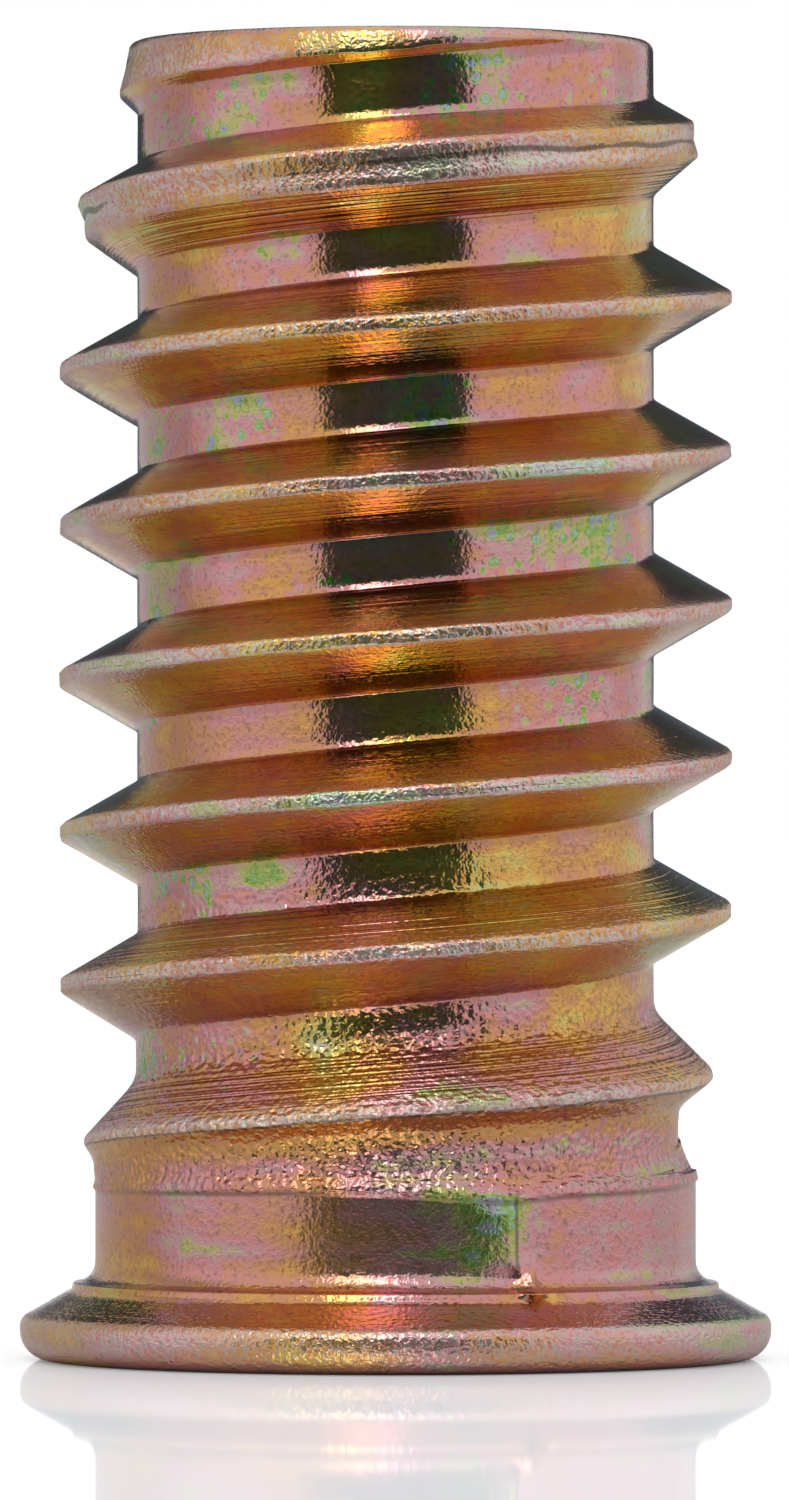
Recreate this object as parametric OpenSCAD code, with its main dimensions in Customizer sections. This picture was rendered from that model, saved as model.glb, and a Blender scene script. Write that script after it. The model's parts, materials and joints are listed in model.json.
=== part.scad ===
// Flanged, hex-drive threaded insert for wood: one piece of steel, turned and thread-rolled.
// It stands on its flange: the flange's outer face lies on z = 0 and the leading end points up (+Z).
// The origin is the centre of the flange's outer face.
// The machine thread inside the bore is drawn as a plain hole of its minor diameter.

/* [Overall] */
// Length from the flange's outer face to the leading end
length = 25; // [20:0.5:40]

/* [Shank] */
// Diameter at the root of the wood thread
root_d = 9.8; // [9.6:0.1:10.6]
// Radius of the rounded edge at the leading end
nose_round = 0.2; // [0.1:0.05:0.4]

/* [Wood thread] */
// Diameter over the full thread crests
thread_d = 12.8; // [12:0.1:13.6]
// Distance along the axis from one crest to the next
pitch = 2.91; // [2.7:0.01:3.5]
// Angle between the two flanks of a thread, in degrees
flank_angle = 58; // [50:1:62]
// Width of the flat on a full crest
crest_flat = 0.26; // [0.15:0.01:0.4]
// Size of the small bevel on a crest's two edges
crest_bevel = 0.06; // [0.02:0.01:0.1]
// How much the crest's flat widens to each side as it fades towards the leading end
unfilled_flat = 0.6; // [0:0.05:0.8]
// How far below the collar's top edge the thread's crest line begins
thread_dip = 0.7; // [0.5:0.05:0.9]
// Turns from the thread's beginning to its first full crest
run_out_turns = 1.4; // [1:0.1:2]
// Turns over which the crest fades away towards the leading end
lead_in_turns = 1.6; // [1.2:0.1:2]

/* [Collar] */
// Diameter of the plain collar above the flange
collar_d = 11.4; // [11:0.1:11.8]
// Height of the collar's top edge above the flange's outer face
collar_top = 3.4; // [3:0.1:4]
// Length of the neck that narrows from the collar to the thread root
neck_h = 2.2; // [1.5:0.1:4]
// Radius of the fillet at the foot of the collar
collar_fillet = 0.4; // [0.15:0.05:0.4]
// Height of the small step between the flange's cone and that fillet
step_h = 0.1; // [0.05:0.01:0.2]

/* [Flange] */
// Diameter of the flange
flange_d = 14.26; // [13.5:0.02:16]
// Radius of the rim's lower edge
rim_low_round = 0.55; // [0.3:0.05:0.6]
// Radius of the rim's upper edge
rim_high_round = 0.25; // [0.15:0.05:0.35]
// Height of the straight band between the rim's two rounded edges
rim_band = 0.09; // [0.05:0.01:0.3]
// Slope of the flange's upper cone, in degrees from flat
cone_slope = 29.5; // [20:0.5:35]

/* [Bore and drive] */
// Diameter of the bore, the minor diameter of the machine thread
bore_d = 6.8; // [6.4:0.1:7]
// Depth of the countersink at the leading end of the bore
mouth_chamfer = 0.6; // [0.3:0.05:0.8]
// Width across the flats of the hex socket
hex_flats = 8; // [7.2:0.1:8.2]
// Depth of the hex socket
hex_depth = 4.4; // [4.1:0.1:6]
// Depth of the countersink at the mouth of the socket, at the socket's corners
socket_chamfer = 0.3; // [0.1:0.05:0.5]

/* [Hidden] */
$fn = 96;
zinc_gold = [0.78, 0.58, 0.46];

root_r = root_d / 2;
thread_r = thread_d / 2;
collar_r = collar_d / 2;
flange_r = flange_d / 2;
bore_r = bore_d / 2;
hex_r = hex_flats / 2;
hex_corner_r = hex_r / cos(30);
mouth_r = hex_corner_r + socket_chamfer;

// The rim's two arcs, and the cone that leaves the upper arc as its tangent.
rim_low = [flange_r - rim_low_round, rim_low_round];
rim_high = [flange_r - rim_high_round, rim_low_round + rim_band];
cone_foot = rim_high + rim_high_round * [sin(cone_slope), cos(cone_slope)];
cone_top_r = collar_r + collar_fillet;
cone_top_z = cone_foot[1] + (cone_foot[0] - cone_top_r) * tan(cone_slope);
fillet_z = cone_top_z + step_h + collar_fillet;
nose = [root_r - nose_round, length - nose_round];

// The wood thread is a ribbon of V section, wound round the shank with its base sunk below the root.
ribbon_sink = 0.15;
steps_per_turn = 48;
thread_start_z = collar_top - thread_dip;
full_turns = (length - thread_start_z) / pitch - lead_in_turns;

// Height of the thread as a share of its full height: [share of the way, share of the height].
run_out = [[0, 0.4], [0.35, 0.68], [0.7, 0.75], [1, 1]];
lead_in = [[0, 1], [0.28, 0.77], [0.62, 0.56], [0.93, 0.22], [1.15, -0.02]];
lead_in_end = lead_in[len(lead_in) - 1][0];
ribbon_steps = ceil((full_turns + lead_in_end * lead_in_turns) * steps_per_turn);

function height_share(turn) = turn < run_out_turns
    ? lookup(turn / run_out_turns, run_out)
    : lookup((turn - full_turns) / lead_in_turns, lead_in);

// The ribbon's section at a turn, from the lower flank's base over the crest to the upper flank's.
function thread_section(turn) = let (
    share = height_share(turn),
    crest_r = root_r + share * (thread_r - root_r),
    widening = turn < run_out_turns ? 0 : (1 - share) * unfilled_flat,
    crest_w = crest_flat / 2 + widening,
    shoulder_r = crest_r - crest_bevel,
    base_r = root_r - ribbon_sink,
    base_w = crest_w + (crest_r - base_r) * tan(flank_angle / 2)
) [
    [base_r, -base_w],
    [shoulder_r, -crest_w],
    [crest_r, crest_bevel - crest_w],
    [crest_r, crest_w - crest_bevel],
    [shoulder_r, crest_w],
    [base_r, base_w],
];
section_size = len(thread_section(0));

// The body of revolution: flange, collar, neck and shank.
module blank() {
    rotate_extrude() difference() {
        union() {
            polygon([
                [0, 0],
                [rim_low[0], 0],
                [flange_r, rim_low[1]],
                [flange_r, rim_high[1]],
                cone_foot,
                [cone_top_r, cone_top_z],
                [cone_top_r, fillet_z],
                [collar_r, fillet_z],
                [collar_r, collar_top],
                [root_r, collar_top + neck_h],
                [root_r, nose[1]],
                [nose[0], length],
                [0, length],
            ]);
            translate(rim_low) circle(rim_low_round);
            translate(rim_high) circle(rim_high_round);
            translate(nose) circle(nose_round);
        }
        translate([cone_top_r, fillet_z]) circle(collar_fillet);
    }
}

// The wood thread, as one swept polyhedron.
module wood_thread() {
    points = [
        for (step = [0 : ribbon_steps])
            let (turn = step / steps_per_turn, angle = 360 * turn, z = thread_start_z + pitch * turn)
            for (p = thread_section(turn)) [p[0] * cos(angle), p[0] * sin(angle), z + p[1]]
    ];
    sides = [
        for (step = [0 : ribbon_steps - 1], side = [0 : section_size - 1])
            let (a = step * section_size + side, b = step * section_size + (side + 1) % section_size)
            for (triangle = [[a, b, b + section_size], [a, b + section_size, a + section_size]]) triangle
    ];
    start_cap = [for (side = [section_size - 1 : -1 : 0]) side];
    end_cap = [for (side = [0 : section_size - 1]) ribbon_steps * section_size + side];
    polyhedron(points, concat([start_cap], sides, [end_cap]), convexity = 10);
}

// What is cut away: the bore, the hex socket and their countersinks.
module bore_and_socket() {
    over = 1;
    translate([0, 0, -over]) cylinder(r = bore_r, h = length + 2 * over);
    translate([0, 0, length - mouth_chamfer])
        cylinder(r1 = bore_r, r2 = bore_r + mouth_chamfer + over, h = mouth_chamfer + over);
    translate([0, 0, -over]) cylinder(r = hex_corner_r, h = hex_depth + over, $fn = 6);
    translate([0, 0, hex_depth]) cylinder(r1 = hex_r, r2 = bore_r, h = hex_r - bore_r);
    translate([0, 0, -over])
        cylinder(r1 = mouth_r + over, r2 = hex_r, h = mouth_r - hex_r + over);
}

module insert() {
    color(zinc_gold) difference() {
        intersection() {
            union() {
                blank();
                wood_thread();
            }
            cylinder(r = flange_r + 1, h = length);
        }
        bore_and_socket();
    }
}

insert();
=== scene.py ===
# %% [markdown]
# # A threaded insert for wood
# A threaded insert is a short steel sleeve that is turned into a drilled hole in wood. A coarse thread
# on the outside grips the wood, and a machine thread on the inside takes a screw. This one has a round
# flange at its foot with a hex socket in it, and it is plated with zinc under a yellow chromate film.
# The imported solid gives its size. The mesh made here stands for that solid and adds what it leaves
# out: worn crests, rolling marks, the thread's two imperfect ends and the screw thread in the bore.

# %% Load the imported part
import json
from math import atan2, cos, hypot, pi, radians, sin, tan, tau

import bmesh
import bpy
from mathutils import Matrix, Vector, noise


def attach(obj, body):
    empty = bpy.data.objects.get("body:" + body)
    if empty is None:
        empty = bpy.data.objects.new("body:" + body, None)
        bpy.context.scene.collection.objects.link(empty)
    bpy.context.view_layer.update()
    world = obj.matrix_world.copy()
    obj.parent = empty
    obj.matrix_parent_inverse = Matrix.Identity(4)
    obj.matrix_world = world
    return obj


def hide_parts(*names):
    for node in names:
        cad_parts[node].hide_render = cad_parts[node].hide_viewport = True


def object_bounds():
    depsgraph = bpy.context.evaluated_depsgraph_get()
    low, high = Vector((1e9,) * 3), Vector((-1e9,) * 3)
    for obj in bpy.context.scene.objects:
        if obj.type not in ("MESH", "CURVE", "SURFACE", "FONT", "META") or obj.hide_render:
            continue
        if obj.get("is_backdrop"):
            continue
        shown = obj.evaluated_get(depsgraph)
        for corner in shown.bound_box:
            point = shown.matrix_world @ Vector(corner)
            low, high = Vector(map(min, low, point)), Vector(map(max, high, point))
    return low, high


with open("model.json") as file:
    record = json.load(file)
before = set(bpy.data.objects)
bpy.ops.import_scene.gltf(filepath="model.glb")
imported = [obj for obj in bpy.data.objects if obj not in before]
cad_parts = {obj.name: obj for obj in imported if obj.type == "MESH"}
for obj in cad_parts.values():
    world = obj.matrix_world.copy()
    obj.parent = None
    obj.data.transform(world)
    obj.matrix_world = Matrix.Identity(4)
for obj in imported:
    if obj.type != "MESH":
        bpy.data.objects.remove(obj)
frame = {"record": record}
cad_low, cad_high = (corner.copy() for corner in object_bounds())
print("solid:", [round(1000 * side, 2) for side in cad_high - cad_low], "mm")

# %% [markdown]
# ## Sizes
# The mesh is worked out in millimetres, because a pitch of 2.91 is easier to read than 0.00291, and it
# is scaled down to metres once, at the end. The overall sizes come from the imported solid. The rest are
# the insert's own, as a maker would write them on its drawing.

# %% Sizes, in millimetres
MM = 0.001
length = (cad_high.z - cad_low.z) / MM
flange_r = (cad_high.x - cad_low.x) / MM / 2
mounts = {mount["name"]: mount for mount in frame["record"]["mounts"]}
bore_r = mounts["bolt_thread"]["dims"]["r_mm"]
root_r = 4.9
thread_r = 6.4
pitch = 2.91
thread_start_z = 2.7
collar_r = 5.7
print("length", round(length, 2), "flange radius", round(flange_r, 2), "bore radius", bore_r)

# %% [markdown]
# ## The camera
# The insert is seen square on, from its own height, through a long lens. The camera is set up before
# the object, as a photographer would do it: the long lens keeps both ends of the thread undistorted.

# %% Camera
camera_distance = 228
eye_height = 10.66
frame_height = 28.485
frame_centre = Vector((-0.02, 0, 11.555))

camera_data = bpy.data.cameras.new("camera")
camera_data.sensor_width = 36
camera_data.lens = camera_data.sensor_width * camera_distance / frame_height
camera_data.clip_start = 0.01
camera_data.clip_end = 10
camera = bpy.data.objects.new("camera", camera_data)
camera.location = Vector((frame_centre.x, -camera_distance, eye_height)) * MM
camera.rotation_euler = (frame_centre * MM - camera.location).to_track_quat("-Z", "Y").to_euler()
bpy.context.scene.collection.objects.link(camera)
bpy.context.scene.camera = camera
print("lens", round(camera_data.lens, 1), "mm")

# %% [markdown]
# ## Tables along the thread
# The thread is followed turn by turn. Turn 0 lies inside the collar, and turn 6 is the last full one.
# In the middle the thread is the same everywhere, but both ends were rolled imperfectly, so its height,
# width and slopes drift there. A short table of turns and values, read with straight lines in between,
# says how each one drifts. A curve would do too, but a table is easy to read and to change.

# %% Tables: [turn, value]
def lookup(position, table):
    """The value at a position in a table of [position, value] pairs, held level past its ends."""
    if position <= table[0][0]:
        return table[0][1]
    for (low, low_value), (high, high_value) in zip(table, table[1:]):
        if position <= high:
            return low_value + (high_value - low_value) * (position - low) / (high - low)
    return table[-1][1]


full_r = thread_r - 0.02
# Radius of the crest. It rises out of the collar, is full from turn 1.5 to 6, and fades at the top.
CREST_RADIUS = [[0, 5.73], [0.3, 5.78], [0.5, 5.92], [0.75, 5.95], [1, 6.03], [1.25, 6.2], [1.5, full_r],
                [6, full_r], [6.25, 6.26], [6.5, 5.96], [6.75, 5.86], [7, 5.72], [7.25, 5.45],
                [7.5, 5.15], [7.75, 5.06], [8, 4.99], [8.3, root_r]]
# Half the width of the crest's flat: first the collar's shoulder, then a sharp crest, then a blunt one.
CREST_HALF = [[0, 0.7], [0.25, 0.4], [0.5, 0.07], [1, 0.07], [1.5, 0.12], [6, 0.12], [6.3, 0.26],
              [6.5, 0.33], [6.75, 0.36], [7, 0.32], [7.25, 0.38], [7.5, 0.45]]
# How far the crest strays from a true helix, along the axis.
CREST_STRAY = [[0.3, 0], [0.5, -0.04], [0.75, -0.05], [1, -0.22], [1.25, -0.1], [1.5, 0],
               [6.5, 0], [7, 0.1], [7.5, -0.08], [7.75, -0.22], [8.2, -0.3]]
# How much higher the crest's upper edge stands than its lower one.
CREST_TILT = [[6.1, 0], [6.5, 0.18], [6.75, 0.08], [7, -0.08], [7.5, -0.2], [8, 0]]
# Depth of the seam along the middle of a blunt crest.
CREST_SEAM = [[6.1, 0], [6.4, 0.06], [7, 0.05], [7.5, 0.02], [7.8, 0]]
# Radius at the bottom of the groove. A groove's turn is half a turn more than the crest's below it.
GROOVE_RADIUS = [[0, 5.72], [0.25, 5.6], [0.5, 5.36], [0.75, 5.1], [1, 4.93], [1.3, root_r]]
# How far each flank runs along the axis for a millimetre of its height.
UPPER_SLOPE = [[0, 2], [0.4, 1.1], [1, 1], [1.3, 0.7], [1.5, 0.58], [2, 0.56]]
LOWER_SLOPE = [[0.3, 1.6], [0.5, 1.1], [0.75, 0.9], [1, 0.78], [1.5, 0.6], [2, 0.57], [6.2, 0.57],
               [6.5, 0.72], [7, 0.88], [7.5, 0.9]]
print("full crest radius", full_r, "mm")

# %% [markdown]
# ## The section of one thread
# A thread's section is a blunt V: a crest, two flanks, and half a groove on each side. A number from
# -3 to 3 names a place on it: 0 is the middle of the crest, 1 its upper edge, 2 the upper flank's foot
# and 3 the middle of the groove above. The lower side has the same numbers with a minus sign. Because
# places are named and not measured, the same mesh lines follow the crest's edges where it is wide and
# where it is narrow.

# %% Section of the thread
UPPER_PLACES = [0.5, 0.85, 1.03, 1.09, 1.3, 1.55, 1.8, 1.93, 2, 2.1, 2.4, 2.7, 3]
PLACES = [-place for place in reversed(UPPER_PLACES)] + [0] + UPPER_PLACES
crest_rounding = 0.05
root_rounding = 0.1
run_out_rounding = 0.12


def ease(share):
    """A share of the way, held between 0 and 1 and eased at both ends."""
    share = min(max(share, 0), 1)
    return share * share * (3 - 2 * share)


def rounded_min(a, b, size):
    """The smaller of two heights, with the corner between them rounded."""
    share = max(size - abs(a - b), 0) / size
    return min(a, b) - share * share * size / 4


def thread_point(turn, place):
    """Radius of a place on the section at a turn, and its distance along the axis from the true helix."""
    side = 1 if place > 0 else -1
    away = abs(place)
    crest, half, stray = lookup(turn, CREST_RADIUS), lookup(turn, CREST_HALF), lookup(turn, CREST_STRAY)
    groove = lookup(turn + side / 2, GROOVE_RADIUS)
    slope = lookup(turn, UPPER_SLOPE if side > 0 else LOWER_SLOPE)
    tilt = lookup(turn, CREST_TILT) / 2
    edge = crest + side * tilt
    foot = half + max(edge - groove, 0) * slope
    if away <= 1:
        along = stray + side * half * away
    elif away <= 2:
        along = stray + side * (half + (foot - half) * (away - 1))
    else:
        along = (stray + side * foot) * (3 - away) + side * pitch / 2 * (away - 2)
    from_crest = side * (along - stray)
    flat = crest + tilt * min(max(place, -1), 1) - lookup(turn, CREST_SEAM) * ease(1 - away / 0.8)
    flank = edge - (from_crest - half) / slope
    radius = rounded_min(flat, flank, crest_rounding)
    rounding = root_rounding + run_out_rounding * ease((1.6 - turn) / 0.6)
    above_groove = -rounded_min(-radius, -groove, rounding) - groove
    return groove + above_groove * (1 - ease((away - 2.3) / 0.7)), along


print("places across the section:", len(PLACES))

# %% [markdown]
# ## Winding the thread
# On the real insert the thread was rolled: hard ribbed dies squeezed it out of the steel blank. In
# Blender a thread is a screw, which is a spin that also climbs. One upright line of points, a pitch
# tall, is wound once round the axis, and the turns are stacked from those points like a ribbon. Each
# turn's upper edge is the lower edge of the turn above. Spinning makes faces in an order that changes
# from run to run, so the faces are made column by column instead. Only then is each point moved to
# its place on the section, so the two ends of the thread can differ from its middle.

# %% Wind the ribbon
COLUMNS = 288
FIRST_TURN = -1
TURNS = 10

insert_mesh = bmesh.new()
wear = insert_mesh.verts.layers.float.new("wear")
pebble = insert_mesh.verts.layers.float.new("pebble")
drag = insert_mesh.verts.layers.float.new("drag")
across = insert_mesh.verts.layers.float.new("across")
turns_up = insert_mesh.verts.layers.float.new("turns up")
# Marks the points where a painted shadow under the lip falls.
lip_shadow_layer = insert_mesh.verts.layers.float.new("lip foot")
OFF_THREAD = 9


def wind(mesh, places, place_gap, radius, first_z, climb, columns, turns):
    """Winds an upright line of points round the axis, and returns the ribbon's points."""
    turned = bmesh.new()
    line = [turned.verts.new((radius, 0, first_z + place * place_gap)) for place in places]
    edges = [turned.edges.new(pair) for pair in zip(line, line[1:])]
    bmesh.ops.spin(turned, geom=line + edges, cent=(0, 0, 0), axis=(0, 0, 1), dvec=(0, 0, climb / columns),
                   angle=tau, steps=columns, use_merge=False, use_duplicate=False)
    spots = [vert.co.copy() for vert in turned.verts]
    turned.free()
    ribbon, lines = [], []
    for column in range(columns * turns + 1):
        turn = max(column - 1, 0) // columns
        start = (column - turn * columns) * len(places)
        shared = [lines[column - columns][-1]] if column >= columns else []
        rise = Vector((0, 0, climb * turn))
        fresh = [mesh.verts.new(spot + rise) for spot in spots[start + len(shared):start + len(places)]]
        lines.append(shared + fresh)
        ribbon += fresh
    for line, ahead in zip(lines, lines[1:]):
        for corners in zip(line, line[1:], ahead[1:], ahead):
            mesh.faces.new(corners)
    return ribbon


def helix_place(vert, start_z, climb, half_width):
    """The turn and the place of a point on a wound ribbon, from where it lies."""
    angle = atan2(vert.co.y, vert.co.x) % tau
    steps = (vert.co.z - start_z) / climb - angle / tau
    whole = round(steps)
    return whole + angle / tau, (steps - whole) * 2 * half_width, angle


def put(vert, angle, radius, height):
    """Puts a point at an angle round the axis, a radius and a height."""
    vert.co = (radius * cos(angle), radius * sin(angle), height)


ribbon_start_z = thread_start_z + FIRST_TURN * pitch
ribbon = wind(insert_mesh, PLACES, pitch / 6, root_r, ribbon_start_z, pitch, COLUMNS, TURNS)
print("ribbon points:", len(ribbon))

# %% [markdown]
# ## Bending the ribbon to the section
# Real crests aren't even: the steel flowed a little more here and a little less there, and the edge was
# knocked in the barrel with hundreds of others. Smooth noise, sampled along the helix, gives that. The
# same pass writes values on each point for the finish: its place on the section and its turn, where
# the plating is worn, where the surface is pebbled, and where the dies dragged lines along the flank.

# %% Shape the thread
crest_noise = 0.035
surface_noise = 0.008


def along_helix(turn, stretch, offset):
    """Smooth noise from -1 to 1 along the thread."""
    return noise.noise(Vector((turn * tau * thread_r / stretch, offset, 0.3)))


for vert in ribbon:
    turn, place, angle = helix_place(vert, thread_start_z, pitch, 3)
    radius, along = thread_point(turn, place)
    height = thread_start_z + turn * pitch + along
    on_crest = ease((1.25 - abs(place)) / 0.35)
    radius += crest_noise * on_crest * (along_helix(turn, 0.6, place * 0.4) - 0.3)
    height += crest_noise * on_crest * along_helix(turn, 0.8, 7)
    spot = Vector((radius * cos(angle), radius * sin(angle), height))
    radius += surface_noise * noise.noise(spot * 0.9)
    put(vert, angle, radius, height)
    vert[across] = place
    vert[turns_up] = turn
    rolled = ease((turn - 0.3) / 0.3) * ease((8 - turn) / 0.5)
    vert[wear] = on_crest * rolled
    under_crest = ease((-place - 1) / 0.2) * ease((2.2 + place) / 0.3) * ease((turn - 0.45) / 0.1)
    run_out = ease((2.1 - turn) / 1.1) * (1 - 0.8 * under_crest)
    vert[pebble] = 0.05 + 0.15 * ease((4 - turn) / 2) + 0.8 * run_out
    run_out_lines = ease((place - 1) / 0.2) * ease((2.1 - place) / 0.3) * ease((2.4 - turn) / 0.8)
    lead_in_lines = ease((-place - 1) / 0.2) * ease((2.2 + place) / 0.3) * ease((turn - 6.1) / 0.3)
    vert[drag] = max(run_out_lines, lead_in_lines * ease((7.6 - turn) / 0.3))
print("points moved to the section:", len(ribbon))

# %% [markdown]
# ## Cutting the ribbon's ends
# The wound ribbon runs past both ends of the shank. Two flat cuts leave a tube with a level edge at
# each end: one where the nose starts to round over, and one just above the collar. What is cut is
# gathered in a dictionary's keys, which hold each item once and keep their order. Points of the cut
# that nearly touch are merged in the order of their angle, so the same one stays each run.

# %% Cut both ends
nose_round = 0.2
cut_bottom = 3.6
cut_top = length - nose_round


def cut_level(mesh, verts, height, keep_above):
    """Cuts these points' faces at a height, drops one side, and returns the edges of the cut."""
    edges = dict.fromkeys(edge for vert in verts for edge in vert.link_edges)
    faces = dict.fromkeys(face for vert in verts for face in vert.link_faces)
    cut = bmesh.ops.bisect_plane(
        mesh, geom=verts + list(edges) + list(faces), dist=1e-4, plane_co=(0, 0, height),
        plane_no=(0, 0, 1), clear_inner=keep_above, clear_outer=not keep_above)
    verts = [item for item in cut["geom_cut"] if isinstance(item, bmesh.types.BMVert)]
    verts.sort(key=lambda vert: -atan2(vert.co.y, vert.co.x))
    bmesh.ops.remove_doubles(mesh, verts=verts, dist=0.012)
    return [edge for edge in mesh.edges if edge.is_boundary
            and all(abs(vert.co.z - height) < 1e-3 for vert in edge.verts)]


bottom_edge = cut_level(insert_mesh, insert_mesh.verts[:], cut_bottom, True)
top_edge = cut_level(insert_mesh, insert_mesh.verts[:], cut_top, False)
print("edges of the cuts:", len(bottom_edge), len(top_edge))

# %% [markdown]
# ## Carrying on in rings
# Everything beyond the cuts is turned work: round the axis, with no pitch. So the tube's level edges
# are extruded ring by ring, and each ring is set to the radius and height that the turned outline has.
# A ring's radius may depend on the angle, which gives the hex socket from the same tube.

# %% Extrude rings
def grow_ring(mesh, edges, outline, wear_value=0, pebble_value=0.12, lip_shadow_value=0):
    """Extrudes a closed edge and puts each new point where outline(angle, radius) says."""
    made = bmesh.ops.extrude_edge_only(mesh, edges=edges)["geom"]
    verts = [item for item in made if isinstance(item, bmesh.types.BMVert)]
    for vert in verts:
        angle = atan2(vert.co.y, vert.co.x)
        put(vert, angle, *outline(angle, hypot(vert.co.x, vert.co.y)))
        vert[wear] = wear_value
        vert[pebble] = pebble_value
        vert[drag] = 0
        vert[across] = OFF_THREAD
        # Points just under the lip carry the painted shadow under it.
        vert[lip_shadow_layer] = lip_shadow_value
    fresh = set(verts)
    return [item for item in made if isinstance(item, bmesh.types.BMEdge)
            and item.is_boundary and fresh.issuperset(item.verts)]


def arc(centre, radius, start, end, steps):
    """Points on an arc, from one angle to another in degrees, as pairs of radius and height."""
    angles = [radians(start + (end - start) * step / steps) for step in range(steps + 1)]
    return [(centre[0] + radius * cos(angle), centre[1] + radius * sin(angle)) for angle in angles]


def round_ring(radius, height):
    """The outline of a plain ring."""
    return lambda angle, old_radius: (radius, height)


print("points on a ring:", len(top_edge))

# %% [markdown]
# ## The leading end
# The nose is a small round over the shank's edge. It starts from whatever radius the tube has there, so
# the last trace of the thread runs over the edge as it does on the real part. The top face and the
# countersink that guides the screw follow.

# %% Nose, top face and countersink
mouth_chamfer = 0.6
NOSE_STEPS = 4


def shrunk_ring(move, height):
    """The outline of a ring that lies inside the last one, whatever its shape."""
    return lambda angle, old_radius: (old_radius - move, height)


edge = top_edge
reached = 0
for step in range(1, NOSE_STEPS + 1):
    inward = nose_round * (1 - cos(step / NOSE_STEPS * pi / 2))
    height = cut_top + nose_round * sin(step / NOSE_STEPS * pi / 2)
    edge = grow_ring(insert_mesh, edge, shrunk_ring(inward - reached, height), 0.5)
    reached = inward
edge = grow_ring(insert_mesh, edge, shrunk_ring(0.15, length), 0.3)
edge = grow_ring(insert_mesh, edge, round_ring(bore_r + mouth_chamfer + 0.08, length))
edge = grow_ring(insert_mesh, edge, round_ring(bore_r + mouth_chamfer, length - 0.03), 0.3)
top_countersink = edge
print("top face radius", round(bore_r + mouth_chamfer, 2), "mm, edges", len(edge))

# %% [markdown]
# ## Marks on the collar
# Below the thread the steel was turned, apart from the line where the rolling dies stopped. There the
# squeezed steel stands up in a wavy lip. A seam runs down the collar, with a slight swelling on its
# left and a burr at its foot.

# %% Lip and seam
# Height of the lip that the dies left, by the share of a turn from +X.
LIP_HEIGHT = [[0, 3.39], [0.25, 3.3], [0.5, 3.21], [0.6, 3.28], [0.7, 3.34], [0.75, 3.3], [0.81, 3.14],
              [0.845, 3.26], [0.9, 3.3], [1, 3.39]]
# How far above the lip's line each ring of it lies, and how far it stands out.
LIP_RINGS = ((0.2, 0.01), (0.12, 0.03), (0.06, 0.045), (0.03, 0.04), (-0.02, 0), (-0.1, 0))
# Heights of the rings down the plain collar.
COLLAR_HEIGHTS = (2.95, 2.9, 2.6, 2.3, 2.05)
# Where the seam and its burr lie, as angles to the right of the front, and how far they stand out.
seam_angle = radians(23.1)
swelling_width = radians(11)
swelling_height = 0.07
burr_angle = radians(25)
burr_width = radians(3)
burr_height = 0.22


def lip_ring(above, proud):
    """A ring that follows the lip, a little above it and proud of the collar."""
    def outline(angle, old_radius):
        return collar_r + proud, lookup(angle % tau / tau, LIP_HEIGHT) + above
    return outline


def proud_of_collar(angle, height):
    """How far the collar stands out beside its seam, with the burr at the seam's foot."""
    from_front = (angle + pi / 2 + pi) % tau - pi
    before_seam = (from_front - seam_angle + swelling_width) / swelling_width
    swelling = swelling_height * before_seam if 0 < before_seam <= 1 else 0
    burr = burr_height * ease(1 - abs(from_front - burr_angle) / burr_width) * ease((2.1 - height) / 0.3)
    return swelling * ease((height - 1.7) / 0.2) + burr * ease((height - 1.3) / 0.2)


def collar_ring(radius, height):
    """A ring on the collar or its fillet, with the seam."""
    return lambda angle, old_radius: (radius + proud_of_collar(angle, height), height)


edge = bottom_edge
for above, proud in LIP_RINGS:
    on_lip = above > 0
    # The ring just under the lip carries the painted shadow under it.
    just_under = -0.05 < above < 0
    edge = grow_ring(insert_mesh, edge, lip_ring(above, proud), 0, 0.9 if on_lip else 0.1, just_under)
for height in COLLAR_HEIGHTS:
    edge = grow_ring(insert_mesh, edge, collar_ring(collar_r, height), 0, 0.1)
collar_foot = edge
print("collar done, edges:", len(edge))

# %% [markdown]
# ## Flange and socket
# The flange has a cone on its upper side and a rim with two rounds, and its outer face is flat. The
# hex socket is cut from below, with a cone round its mouth that bites a scallop into each flat.

# %% Foot of the insert
rim_low_round, rim_high_round, rim_band = 0.55, 0.25, 0.09
cone_slope = radians(29.5)
collar_fillet, step_h = 0.4, 0.1
hex_r, hex_depth, socket_chamfer = 4, 4.4, 0.3
rim_low = (flange_r - rim_low_round, rim_low_round)
rim_high = (flange_r - rim_high_round, rim_low_round + rim_band)
cone_foot = (rim_high[0] + rim_high_round * sin(cone_slope), rim_high[1] + rim_high_round * cos(cone_slope))
cone_top_r = collar_r + collar_fillet
cone_top_z = cone_foot[1] + (cone_foot[0] - cone_top_r) * tan(cone_slope)
fillet_z = cone_top_z + step_h + collar_fillet
mouth_r = hex_r / cos(pi / 6) + socket_chamfer


def hex_ring(height=None):
    """The hex socket's wall, at a height or where the mouth's cone meets it."""
    def outline(angle, old_radius):
        radius = hex_r / cos((angle % (pi / 3)) - pi / 6)
        return radius, mouth_r - radius if height is None else height
    return outline


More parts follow.
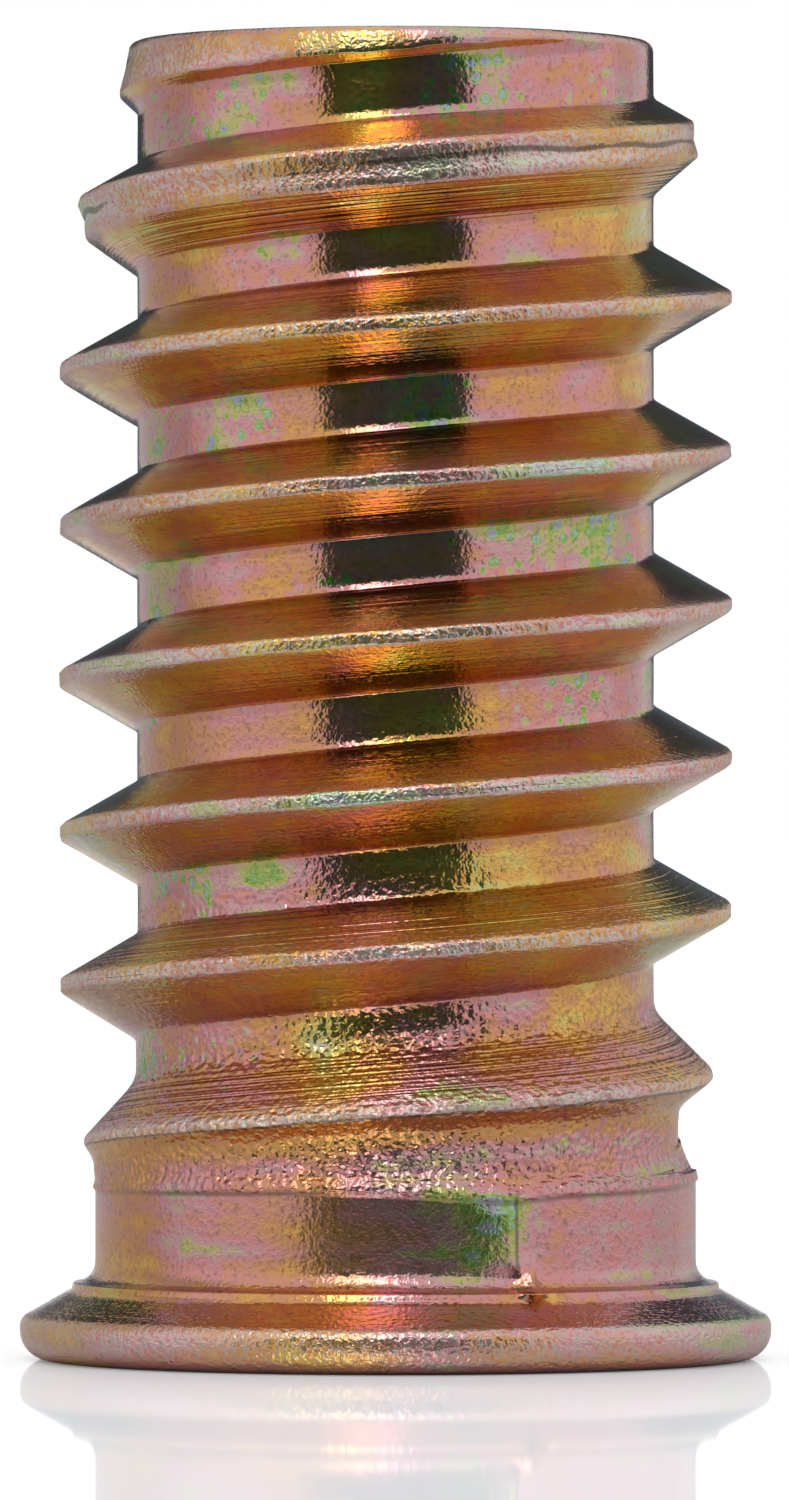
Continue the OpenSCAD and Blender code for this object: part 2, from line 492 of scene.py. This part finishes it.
foot = arc((cone_top_r, fillet_z), collar_fillet, 180, 270, 7)
foot += [(cone_top_r + 0.03, fillet_z - collar_fillet - 0.02), (cone_top_r + 0.04, cone_top_z)]
cone_run, cone_rise = cone_foot[0] - cone_top_r, cone_foot[1] - cone_top_z
for share in (0.05, 0.25, 0.5, 0.75, 0.95):
    foot.append((cone_top_r + cone_run * share, cone_top_z + cone_rise * share))
edge = collar_foot
for radius, height in foot:
    edge = grow_ring(insert_mesh, edge, collar_ring(radius, height), 0, 0.15)
rim = arc(rim_high, rim_high_round, 60.5, 0, 5) + arc(rim_low, rim_low_round, 0, -90, 8)
for radius, height in rim:
    edge = grow_ring(insert_mesh, edge, round_ring(radius, height), 0.55 if height > 0.25 else 0.4, 0.2)
edge = grow_ring(insert_mesh, edge, round_ring(rim_low[0] - 0.3, 0))
edge = grow_ring(insert_mesh, edge, round_ring(mouth_r, 0), 0.2)
edge = grow_ring(insert_mesh, edge, hex_ring(), 0.1)
edge = grow_ring(insert_mesh, edge, hex_ring(hex_depth))
edge = grow_ring(insert_mesh, edge, round_ring(hex_r - 0.04, hex_depth))
socket_taper = edge
print("socket mouth radius", round(mouth_r, 2), "mm, edges", len(edge))

# %% [markdown]
# ## The screw thread in the bore
# The bore takes an M8 screw. Its thread is wound in the same way as the outer one, with a finer pitch
# and its crests on the inside. It fades out before both ends, where the real one runs into the cones,
# so its two cut edges are plain circles that can be bridged to the rest.

# %% Machine thread
screw_pitch = 1.25
screw_depth = 0.6
SCREW_COLUMNS = 96
SCREW_PLACES = [-4, -3.5, -1.6, -1, -0.5, 0.5, 1, 1.6, 3.5, 4]
taper_h = hex_r - bore_r
bore_low, bore_high = hex_depth + taper_h, length - mouth_chamfer

screw_start_z = (int(bore_low / screw_pitch) - 1) * screw_pitch
screw_turns = int((bore_high - bore_low) / screw_pitch) + 3
screw_ribbon = wind(insert_mesh, SCREW_PLACES, screw_pitch / 8, bore_r, screw_start_z, screw_pitch,
                    SCREW_COLUMNS, screw_turns)
for vert in screw_ribbon:
    turn, place, angle = helix_place(vert, 0, screw_pitch, 4)
    height = vert.co.z
    fade = ease((height - bore_low - 0.15) / 0.8) * ease((bore_high - 0.1 - height) / 0.8)
    depth = screw_depth * (1 - ease((abs(place) - 0.5) / 3)) * fade
    put(vert, angle, bore_r + depth, height)
    vert[pebble] = 0.12
print("screw thread points:", len(screw_ribbon))

# %% [markdown]
# ## Closing the body
# The screw thread is cut level where the cones begin. Then its two circles are bridged to the socket's
# foot and to the countersink. Extruding leaves edges and faces in an order that changes from run to
# run, so they are sorted. The body is closed, its faces are turned outwards, and each edge that is
# sharp on the real part is marked sharp, so the rest can be shaded smoothly.

# %% Bridge, scale and name
def order_number(item):
    """A number for an edge or a face from its three lowest points, by which to sort."""
    lowest = sorted(vert.index for vert in item.verts)[:3]
    return sum(index * len(insert_mesh.verts) ** power for power, index in enumerate(lowest))


high_edge = cut_level(insert_mesh, screw_ribbon, bore_high, False)
screw_ribbon = [vert for vert in screw_ribbon if vert.is_valid]
low_edge = cut_level(insert_mesh, screw_ribbon, bore_low, True)
bmesh.ops.bridge_loops(insert_mesh, edges=top_countersink + high_edge)
bmesh.ops.bridge_loops(insert_mesh, edges=socket_taper + low_edge)
insert_mesh.verts.index_update()
insert_mesh.edges.sort(key=order_number)
insert_mesh.faces.sort(key=order_number)
bmesh.ops.recalc_face_normals(insert_mesh, faces=insert_mesh.faces[:])
open_edges = sum(not made.is_manifold for made in insert_mesh.edges)
sharp_angle = radians(55)
for made in insert_mesh.edges:
    made.smooth = made.calc_face_angle(0) < sharp_angle
for face in insert_mesh.faces:
    face.smooth = True
bmesh.ops.scale(insert_mesh, vec=(MM, MM, MM), verts=insert_mesh.verts[:])
insert_data = bpy.data.meshes.new("insert")
insert_mesh.to_mesh(insert_data)
insert_mesh.free()
insert = bpy.data.objects.new("insert_body", insert_data)
bpy.context.scene.collection.objects.link(insert)
print("faces:", len(insert_data.polygons), "open edges:", open_edges)

# %% [markdown]
# ## Writing shader maths
# The finish is a formula of place, so it is written as one. A small class wraps a socket of the
# material's node tree, and a sum or a product of two wrapped sockets adds the maths node for it.

# %% Shader maths
def feed(tree, slot, item):
    """Sets an input: a wrapped value or a socket is linked, and anything else is its constant."""
    if isinstance(item, Value):
        tree.links.new(item.socket, slot)
    elif isinstance(item, bpy.types.NodeSocket):
        tree.links.new(item, slot)
    else:
        slot.default_value = item


def add_node(tree, kind, settings, inputs):
    """Adds a node, gives it its settings and then its inputs, which are named or numbered."""
    node = tree.nodes.new(kind)
    for name, setting in settings.items():
        setattr(node, name, setting)
    for name, item in inputs.items():
        feed(tree, node.inputs[name], item)
    return node


class Value:
    """A number in a node tree. Its sums and products are made of maths nodes."""

    def __init__(self, tree, socket):
        self.tree = tree
        self.socket = socket

    def maths(self, operation, *others, clamp=False):
        """Applies a maths node to this value and the others."""
        settings = {"operation": operation, "use_clamp": clamp}
        node = add_node(self.tree, "ShaderNodeMath", settings, dict(enumerate((self, *others))))
        return Value(self.tree, node.outputs[0])

    def __add__(self, other):
        return self.maths("ADD", other)

    def __radd__(self, other):
        return self.maths("ADD", other)

    def __sub__(self, other):
        return self.maths("SUBTRACT", other)

    def __rsub__(self, other):
        return (self * -1) + other

    def __mul__(self, other):
        return self.maths("MULTIPLY", other)

    def __rmul__(self, other):
        return self.maths("MULTIPLY", other)

    def __truediv__(self, other):
        return self.maths("DIVIDE", other)

    def clamped(self):
        """This value held between 0 and 1."""
        return self.maths("ADD", 0, clamp=True)

    def step(self, low, high):
        """0 below low and 1 above high, eased in between. A low above high turns it round."""
        node = add_node(self.tree, "ShaderNodeMapRange", {"interpolation_type": "SMOOTHSTEP"},
                        {"Value": self, "From Min": low, "From Max": high})
        return Value(self.tree, node.outputs["Result"])


print("shader maths: + - * / on", Value.__name__)

# %% [markdown]
# ## Starting a material
# Every material here begins as an empty node tree. A second small class holds the tree and adds what
# is used most: noise, mixes, and the values that the mesh carries.

# %% Material in the making
class Finish:
    """A material, or the world, and the nodes that it is made of."""

    def __init__(self, data):
        data.use_nodes = True
        self.tree = data.node_tree
        self.tree.nodes.clear()

    def add(self, kind, settings=None, **inputs):
        """Adds a node, gives it its settings and then its inputs. An input's name has _ for a space."""
        named = {name.replace("_", " "): item for name, item in inputs.items()}
        return add_node(self.tree, kind, settings or {}, named)

    def value(self, socket):
        """Wraps a socket."""
        return Value(self.tree, socket)

    def noise(self, place, scale, detail, roughness=0.5):
        """Smooth noise from about -0.5 to 0.5 at a place."""
        node = self.add("ShaderNodeTexNoise", Vector=place, Scale=scale, Detail=detail, Roughness=roughness)
        return self.value(node.outputs["Fac"]) - 0.5

    def vector(self, x, y, z):
        """Three values as a vector."""
        return self.add("ShaderNodeCombineXYZ", X=x, Y=y, Z=z).outputs[0]

    def mix(self, factor, first, second, kind="RGBA"):
        """A colour, or a shader, between two, by a factor."""
        if kind == "SHADER":
            node = add_node(self.tree, "ShaderNodeMixShader", {}, {0: factor, 1: first, 2: second})
            return node.outputs[0]
        node = add_node(self.tree, "ShaderNodeMix", {"data_type": kind}, {0: factor, 6: first, 7: second})
        return node.outputs[2]

    def layer(self, name):
        """A float value that the mesh carries on its points."""
        return self.value(self.add("ShaderNodeAttribute", {"attribute_name": name}).outputs["Fac"])

    def done(self, shader, kind="ShaderNodeOutputMaterial"):
        """Ends the tree, and says how many nodes it has."""
        self.add(kind, Surface=shader)
        return len(self.tree.nodes)


print("a material is made with", Finish.__name__)

# %% [markdown]
# ## Yellow zinc: where things are
# The steel is plated with zinc and dipped in chromate. Worn, dragged and pebbled places come from the
# values that the mesh carries. Everything else is a formula of place in millimetres: how far round from
# the front a point lies, its radius, and its height over a helix with the thread's own pitch.

# %% Places on the part
steel = bpy.data.materials.new("yellow zinc")
zinc = Finish(steel)
metres = zinc.add("ShaderNodeTexCoord").outputs["Object"]
point = zinc.add("ShaderNodeVectorMath", {"operation": "SCALE"}, Vector=metres, Scale=1 / MM).outputs[0]
split = zinc.add("ShaderNodeSeparateXYZ", Vector=point)
x, y, z = (zinc.value(split.outputs[name]) for name in "XYZ")
radius = (x * x + y * y).maths("SQRT")
round_share = x.maths("ARCTAN2", y * -1) / tau
helix_height = z - pitch * round_share * z.step(3.0, 3.6)
worn, pebbled, dragged = (zinc.layer(name) for name in ("wear", "pebble", "drag"))
place, turns = zinc.layer("across"), zinc.layer("turns up")
on_flank = radius.step(4.98, 5.15) * radius.step(6.4, 6.3) * z.step(4.6, 5.8) * (1 - worn)
on_cone = z.step(0.84, 1.0) * z.step(2.0, 1.8) * radius.step(5.72, 5.85)
on_collar = z.step(3.4, 3.2) * z.step(1.6, 1.9)
print("nodes for places:", len(zinc.tree.nodes))

# %% [markdown]
# ## Streaks along the thread
# A die leaves its marks along the helix. Noise is stretched that way by giving it three coordinates:
# height over the helix, radius, and the way round, the last one squeezed. The way round jumps by a whole
# turn at the back, so the streaks fade out in a narrow strip there, which is cheaper than blending two.

# %% Streaks
away_from_jump = round_share.maths("ABSOLUTE").step(0.49, 0.44)


def streaks(scale, stretch, detail, roughness=0.5):
    """Noise from about -0.5 to 0.5 that is stretched along the thread."""
    way_round = round_share * (tau * thread_r * scale / stretch)
    noise_place = zinc.vector(helix_height * scale, radius * scale, way_round)
    return zinc.noise(noise_place, 1, detail, roughness) * away_from_jump


film_streaks = streaks(2.5, 10, 1)
die_lines = streaks(10, 85, 1, 0.9)
print("nodes with streaks:", len(zinc.tree.nodes))

# %% [markdown]
# ## How thick the film is
# Chromate leaves a clear film a fraction of a micrometre thick. It drifts slowly over the part with the
# way it lay in the bath, it is thinner on the machined flanks, and it dried in small pools. Four
# layers of noise of different sizes, with different weights, add up to that.

# %% Thickness of the film, from 0 to 1
drift = zinc.noise(point, 0.2, 1)
patches = zinc.noise(point, 0.55, 2, 0.6)
mottle = zinc.noise(point, 3.2, 1, 0.65)
grit = zinc.noise(point, 10, 1, 0.7)
low_down = z.step(5.5, 4.2)
open_film = (0.52 + (1 - 0.4 * low_down) * (1.4 * drift + 1.0 * patches) + 0.24 * mottle + 0.1 * grit
             + 0.5 * film_streaks + 0.05 * low_down)
flank_film = 0.27 + 0.22 * z.step(8, 5) + 0.4 * mottle + 0.95 * patches + 0.5 * drift + 0.3 * film_streaks
film = open_film + 0.85 * (on_flank + on_cone).clamped() * (flank_film - open_film)
print("nodes with the film:", len(zinc.tree.nodes))

# %% [markdown]
# ## Where the film pooled, and a painted blue reflection
# Three places differ from the rest. The hollow under the run-out's crest is thin and orange. Up to the
# collar's seam the colour is a painted reflection of something blue beside the camera, made as a thick
# blue film, and just past the seam the film is green. Round drops dried in groups on the shank, in a
# film that is a little thicker there: a Voronoi texture gives the drops, and a slow noise chooses where
# they are.

# %% Pools and drops
in_run_out = turns.step(0.4, 0.55) * turns.step(1.6, 1.4)
under_crest = place.step(-0.95, -1.15) * place.step(-2.4, -2.1) * in_run_out
film = film + 0.9 * under_crest * (0.34 + 0.2 * mottle - film)
past_seam = round_share - seam_angle / tau
# Up to the seam: a painted reflection of something blue beside the camera; past it: green film.
at_seam = past_seam.step(-0.042, -0.012) * past_seam.step(0.03, 0.004) * z.step(1.7, 2.7) * z.step(3.35, 3.2)
seam_film_and_blue_reflection = 1.06 - 0.22 * past_seam.step(-0.001, 0.001) + 0.6 * mottle + 0.9 * patches
film = film + 0.75 * at_seam * (seam_film_and_blue_reflection - film)
drops_per_mm = 3.2
drops = zinc.value(zinc.add("ShaderNodeTexVoronoi", Vector=point, Scale=drops_per_mm).outputs["Distance"])
in_groups = zinc.noise(point, 0.42, 0).step(0.04, 0.16) * (1 - on_flank) * (1 - worn) * z.step(3.6, 5)
film = film + in_groups * (0.04 + 0.25 * drops.step(0.46, 0.22))
print("nodes with the pools:", len(zinc.tree.nodes))

# %% [markdown]
# ## From thickness to colour
# Light that is reflected above and below the film cancels at some colours, so its thickness shows as a
# colour: pale gold where it is thinnest, then orange, pink, green and blue grey. A real formula for this
# exists, but a ramp is easier to set against a real part, and it bakes to a plain texture.

# %% Colours of the film
FILM_COLOURS = [
    (0.0, (0.58, 0.53, 0.40)),
    (0.12, (0.51, 0.45, 0.15)),
    (0.22, (0.60, 0.425, 0.12)),
    (0.32, (0.625, 0.33, 0.095)),
    (0.42, (0.55, 0.27, 0.12)),
    (0.52, (0.55, 0.26, 0.18)),
    (0.60, (0.56, 0.24, 0.25)),
    (0.69, (0.50, 0.30, 0.30)),
    (0.78, (0.44, 0.40, 0.16)),
    (0.87, (0.22, 0.36, 0.08)),
    (0.94, (0.31, 0.45, 0.33)),
    (1.0, (0.33, 0.32, 0.37)),
]
ramp = zinc.add("ShaderNodeValToRGB", Fac=film)
stops = ramp.color_ramp.elements
stops[0].color = (*FILM_COLOURS[0][1], 1)
stops[1].color = (*FILM_COLOURS[-1][1], 1)
for thickness, colour in FILM_COLOURS[1:-1]:
    stops.new(thickness).color = (*colour, 1)
print("colours in the ramp:", len(stops))

# %% [markdown]
# ## Rubbed and dirty places
# In the barrel the parts knocked against each other, so the plating is rubbed to bare silver in streaks
# on the crests. Dirt sits in fine pores all over.

# %% Silver and dirt
SILVER = (0.72, 0.69, 0.63, 1)
DIRT = (0.14, 0.09, 0.06, 1)
rub = worn * (0.5 * film_streaks + 0.9 * grit + 0.5 + 0.06 * turns.step(1.5, 1.2)).step(0.3, 0.7)
dirty = zinc.mix(((2.2 + 1.5 * worn) * grit - 0.08).clamped(), ramp.outputs["Color"], DIRT)
plated = zinc.mix(0.65 * rub, dirty, SILVER)
print("nodes with the silver:", len(zinc.tree.nodes))

# %% [markdown]
# ## Cracks, and painted shade under the crest and the lip
# Where the dies didn't fill, at the thread's leading end, the steel folded over and left a crack along
# the middle of the crest. Fainter ones run along the other crests. A crack is a thin line near the
# crest's middle, which noise moves up and down and opens and closes. Three more dark lines follow: one
# along the collar's seam, painted shade along the lower edge of the run-out's crest, and a painted
# shadow under the wavy lip.

# %% Cracks and painted shade
# The colour of the cracks, and of the painted shade and shadow lines.
CRACK_AND_SHADE = (0.08, 0.065, 0.045, 1)
lead_in = turns.step(6.15, 6.35)
line_middle = 0.1 - 0.35 * (1 - lead_in) + 1.3 * streaks(1.7, 4, 1)
line_width = 0.13 + 0.1 * lead_in
opened = turns.step(6.62, 6.7) * turns.step(7.0, 6.95)
cracked = (0.4 + film_streaks + 0.5 * grit + 0.3 * opened).step(0.54, 0.6)
crack = (1 - (place - line_middle).maths("ABSOLUTE") / line_width).clamped() * cracked * worn
seam_line = past_seam.maths("ABSOLUTE").step(0.0018, 0.0006) * z.step(1.75, 1.9) * z.step(3.3, 3.2)
# Painted shade along the lower edge of the run-out's crest.
painted_shade_under_run_out_crest = place.step(-0.88, -1.0) * place.step(-1.25, -1.08) * turns.step(0.4, 0.5) * turns.step(1.6, 1.4)
# A painted shadow under the wavy lip, broken up by streaks.
painted_shadow_under_lip = zinc.layer("lip foot") * (0.6 + 2 * film_streaks)
# Cracks, the seam's line, and the painted shade and shadow lines, in one dark colour.
cracks_seam_and_painted_shade = (crack.step(0.1, 0.7) + 0.8 * seam_line + 0.7 * painted_shade_under_run_out_crest + painted_shadow_under_lip).clamped()
base_colour = zinc.mix(0.75 * cracks_seam_and_painted_shade, plated, CRACK_AND_SHADE)
print("nodes with the cracks:", len(zinc.tree.nodes))

# %% [markdown]
# ## Gloss and small relief
# Plated steel is shiny, and duller where it is worn or pebbled. The relief is only as high as plating
# and die marks are, so a bump is enough: lines where the dies dragged, dents where they hammered the
# run-out, and grain everywhere.

# %% Gloss and relief
hammered = zinc.noise(point, 8, 0)
relief = ((4 * dragged + 1.0 * on_flank + 0.6 * on_cone) * die_lines
          + 6 * (pebbled - 0.08).clamped() * (1 - 0.7 * dragged) * hammered
          + (0.4 + 0.5 * z.step(16, 9) + 1.2 * pebbled + 2.2 * worn) * grit)
relief_height = 0.012 * MM
bump = zinc.add("ShaderNodeBump", Height=relief, Distance=relief_height, Strength=1.0)
gloss = 0.13 + 0.2 * worn + 0.12 * pebbled + 0.08 * mottle + 0.1 * on_collar
surface = zinc.add("ShaderNodeBsdfPrincipled", Base_Color=base_colour, Metallic=1.0, Roughness=gloss,
                   Normal=bump.outputs[0])
insert_data.materials.append(steel)
print("nodes in the finish:", zinc.done(surface.outputs[0]))

# %% [markdown]
# ## The white surround
# A polished metal shows what is round it. The insert stands in a plain white surround of strength 1,
# so most of it is bright.

# %% Surround
bpy.context.scene.world = bpy.data.worlds.new("white surround")
surround = Finish(bpy.context.scene.world)
white = surround.add("ShaderNodeBackground", Color=(1, 1, 1, 1), Strength=1.0)
print("nodes in the surround:", surround.done(white.outputs[0], "ShaderNodeOutputWorld"))

# %% [markdown]
# ## Cards
# The camera's side of the room is dark, which gives every round surface one upright dark bar with hard
# sides. More cards, dark and bright, shade the cones of the thread. Each one is a patch of a sphere
# round the insert, made from one point by two spins, and it can be seen from inside only.

# %% Make a card
CARD_STEPS = 24
MIDDLE = Vector((0, 0, eye_height))


def dress_card(name, mesh, colour):
    """Gives a card its glow on one side, and hides it from all but reflections."""
    bmesh.ops.scale(mesh, verts=mesh.verts[:], vec=(MM, MM, MM))
    data = bpy.data.meshes.new(name)
    mesh.to_mesh(data)
    mesh.free()
    made = bpy.data.objects.new(name, data)
    bpy.context.scene.collection.objects.link(made)
    paint = Finish(bpy.data.materials.new(name))
    glow = paint.add("ShaderNodeEmission", Color=(*colour, 1), Strength=1.0)
    clear = paint.add("ShaderNodeBsdfTransparent")
    behind = paint.add("ShaderNodeNewGeometry").outputs["Backfacing"]
    paint.done(paint.mix(behind, glow.outputs[0], clear.outputs[0], "SHADER"))
    bpy.data.materials[name].cycles.emission_sampling = "NONE"
    data.materials.append(bpy.data.materials[name])
    made.visible_camera = made.visible_diffuse = made.visible_shadow = False
    made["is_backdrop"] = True
    print(name, "card, faces:", len(data.polygons))


def sweep(mesh, azimuths):
    """Turns an arc that stands at the camera's side to the first azimuth, and sweeps it to the second."""
    left, right = (radians(angle) for angle in azimuths)
    bmesh.ops.rotate(mesh, verts=mesh.verts[:], cent=MIDDLE, matrix=Matrix.Rotation(left, 3, "Z"))
    bmesh.ops.spin(mesh, geom=mesh.verts[:] + mesh.edges[:], cent=MIDDLE, axis=(0, 0, 1), angle=right - left,
                   steps=CARD_STEPS)


def card(name, azimuths, elevations, colour, distance=240):
    """A card between two azimuths and two elevations, in degrees. Azimuth 0 is the camera's side."""
    mesh = bmesh.new()
    corner = mesh.verts.new(MIDDLE + Vector((0, -distance, 0)))
    low, high = (radians(angle) for angle in elevations)
    bmesh.ops.rotate(mesh, verts=[corner], cent=MIDDLE, matrix=Matrix.Rotation(-low, 3, "X"))
    bmesh.ops.spin(mesh, geom=[corner], cent=MIDDLE, axis=(-1, 0, 0), angle=high - low, steps=CARD_STEPS)
    sweep(mesh, azimuths)
    dress_card(name, mesh, colour)


# %% [markdown]
# ## Where the cards stand
# The room behind the camera is nearly black. Two lamps above it put the small highlights on the upper
# flanks. Grey cards at both sides and low ones behind dim the white surround, which keeps the outline
# of the insert from melting into the background, and gives the upper flanks their dark ends.

# %% Place the cards
ROOM = (0.045, 0.082, 0.062)
LAMP = (4.3, 4.3, 4.3)
DARK_GREY = (0.58, 0.58, 0.58)
PALE_GREY = (0.8, 0.8, 0.8)
room_side = (-32.5, 32.5)
card("room", room_side, (-2.6, 16), ROOM)
card("lamp by the camera", (-22, -7), (17, 40), LAMP, 230)
card("lamp above", (-26, 2), (38, 62), LAMP)
card("left back", (-168, -102), (-6, 55), DARK_GREY)
card("left", (-102, -88), (-6, 55), PALE_GREY)
card("right back", (152, 172), (-6, 55), DARK_GREY)
card("right", (114, 152), (-6, 55), PALE_GREY)
card("back", (148, 212), (14, 50), (0.05, 0.065, 0.08), 60)
card("low back", (160, 200), (-3.9, 14), (0.1, 0.13, 0.17), 60)
print("materials so far:", len(bpy.data.materials))

# %% [markdown]
# ## The dark part of the floor
# The room's darkness goes on over the floor between the camera and the insert. It is one more card, cut
# from a line that lies on the floor and is swept to the same two sides.

# %% Dark card on the floor
floor_card_z = 0.03
floor_card_near = 240
floor_card_far = 22
flat = bmesh.new()
ends = [flat.verts.new((0, -distance, floor_card_z)) for distance in (floor_card_far, floor_card_near)]
flat.edges.new(ends)
sweep(flat, room_side)
dress_card("room on the floor", flat, ROOM)
print("from", floor_card_far, "to", floor_card_near, "mm in front of the axis")

# %% [markdown]
# ## The floor
# A pale grey sheet with a thin gloss, so the insert stands on its own faint reflection. The camera sees
# the sheet as white, which is how a product picture is lit, and the sheet keeps the insert's shadow.

# %% Floor
FLOOR_HALF = 3
FLOOR_GLOSS = 0.42
floor_mesh = bmesh.new()
bmesh.ops.create_grid(floor_mesh, x_segments=1, y_segments=1, size=FLOOR_HALF)
floor_data = bpy.data.meshes.new("floor")
floor_mesh.to_mesh(floor_data)
floor_mesh.free()
floor = bpy.data.objects.new("floor", floor_data)
bpy.context.scene.collection.objects.link(floor)
sheet = Finish(bpy.data.materials.new("white sheet"))
by_camera = sheet.value(sheet.add("ShaderNodeLightPath").outputs["Is Camera Ray"])
sheet_colour = sheet.mix(by_camera, (0.62, 0.62, 0.62, 1), (0.87, 0.89, 0.94, 1))
matt = sheet.add("ShaderNodeBsdfDiffuse", Color=sheet_colour)
lift = sheet.add("ShaderNodeEmission", Color=(1, 1, 1, 1), Strength=0.3 * by_camera)
lit = add_node(sheet.tree, "ShaderNodeAddShader", {}, {0: matt.outputs[0], 1: lift.outputs[0]})
polish = sheet.add("ShaderNodeBsdfGlossy", Color=(1, 1, 1, 1), Roughness=0.035)
print("nodes in the sheet:", sheet.done(sheet.mix(FLOOR_GLOSS, lit.outputs[0], polish.outputs[0], "SHADER")))
floor_data.materials.append(bpy.data.materials["white sheet"])
floor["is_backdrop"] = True

# %% [markdown]
# ## Handing over
# The piece rides on the imported body and stands in for its solid, which is hidden. Both
# boxes are written down, so that anyone can see that the dressed part is as large as the solid.

# %% Hand over
bpy.context.scene.view_settings.view_transform = "Standard"
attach(insert, "root")
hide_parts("insert")
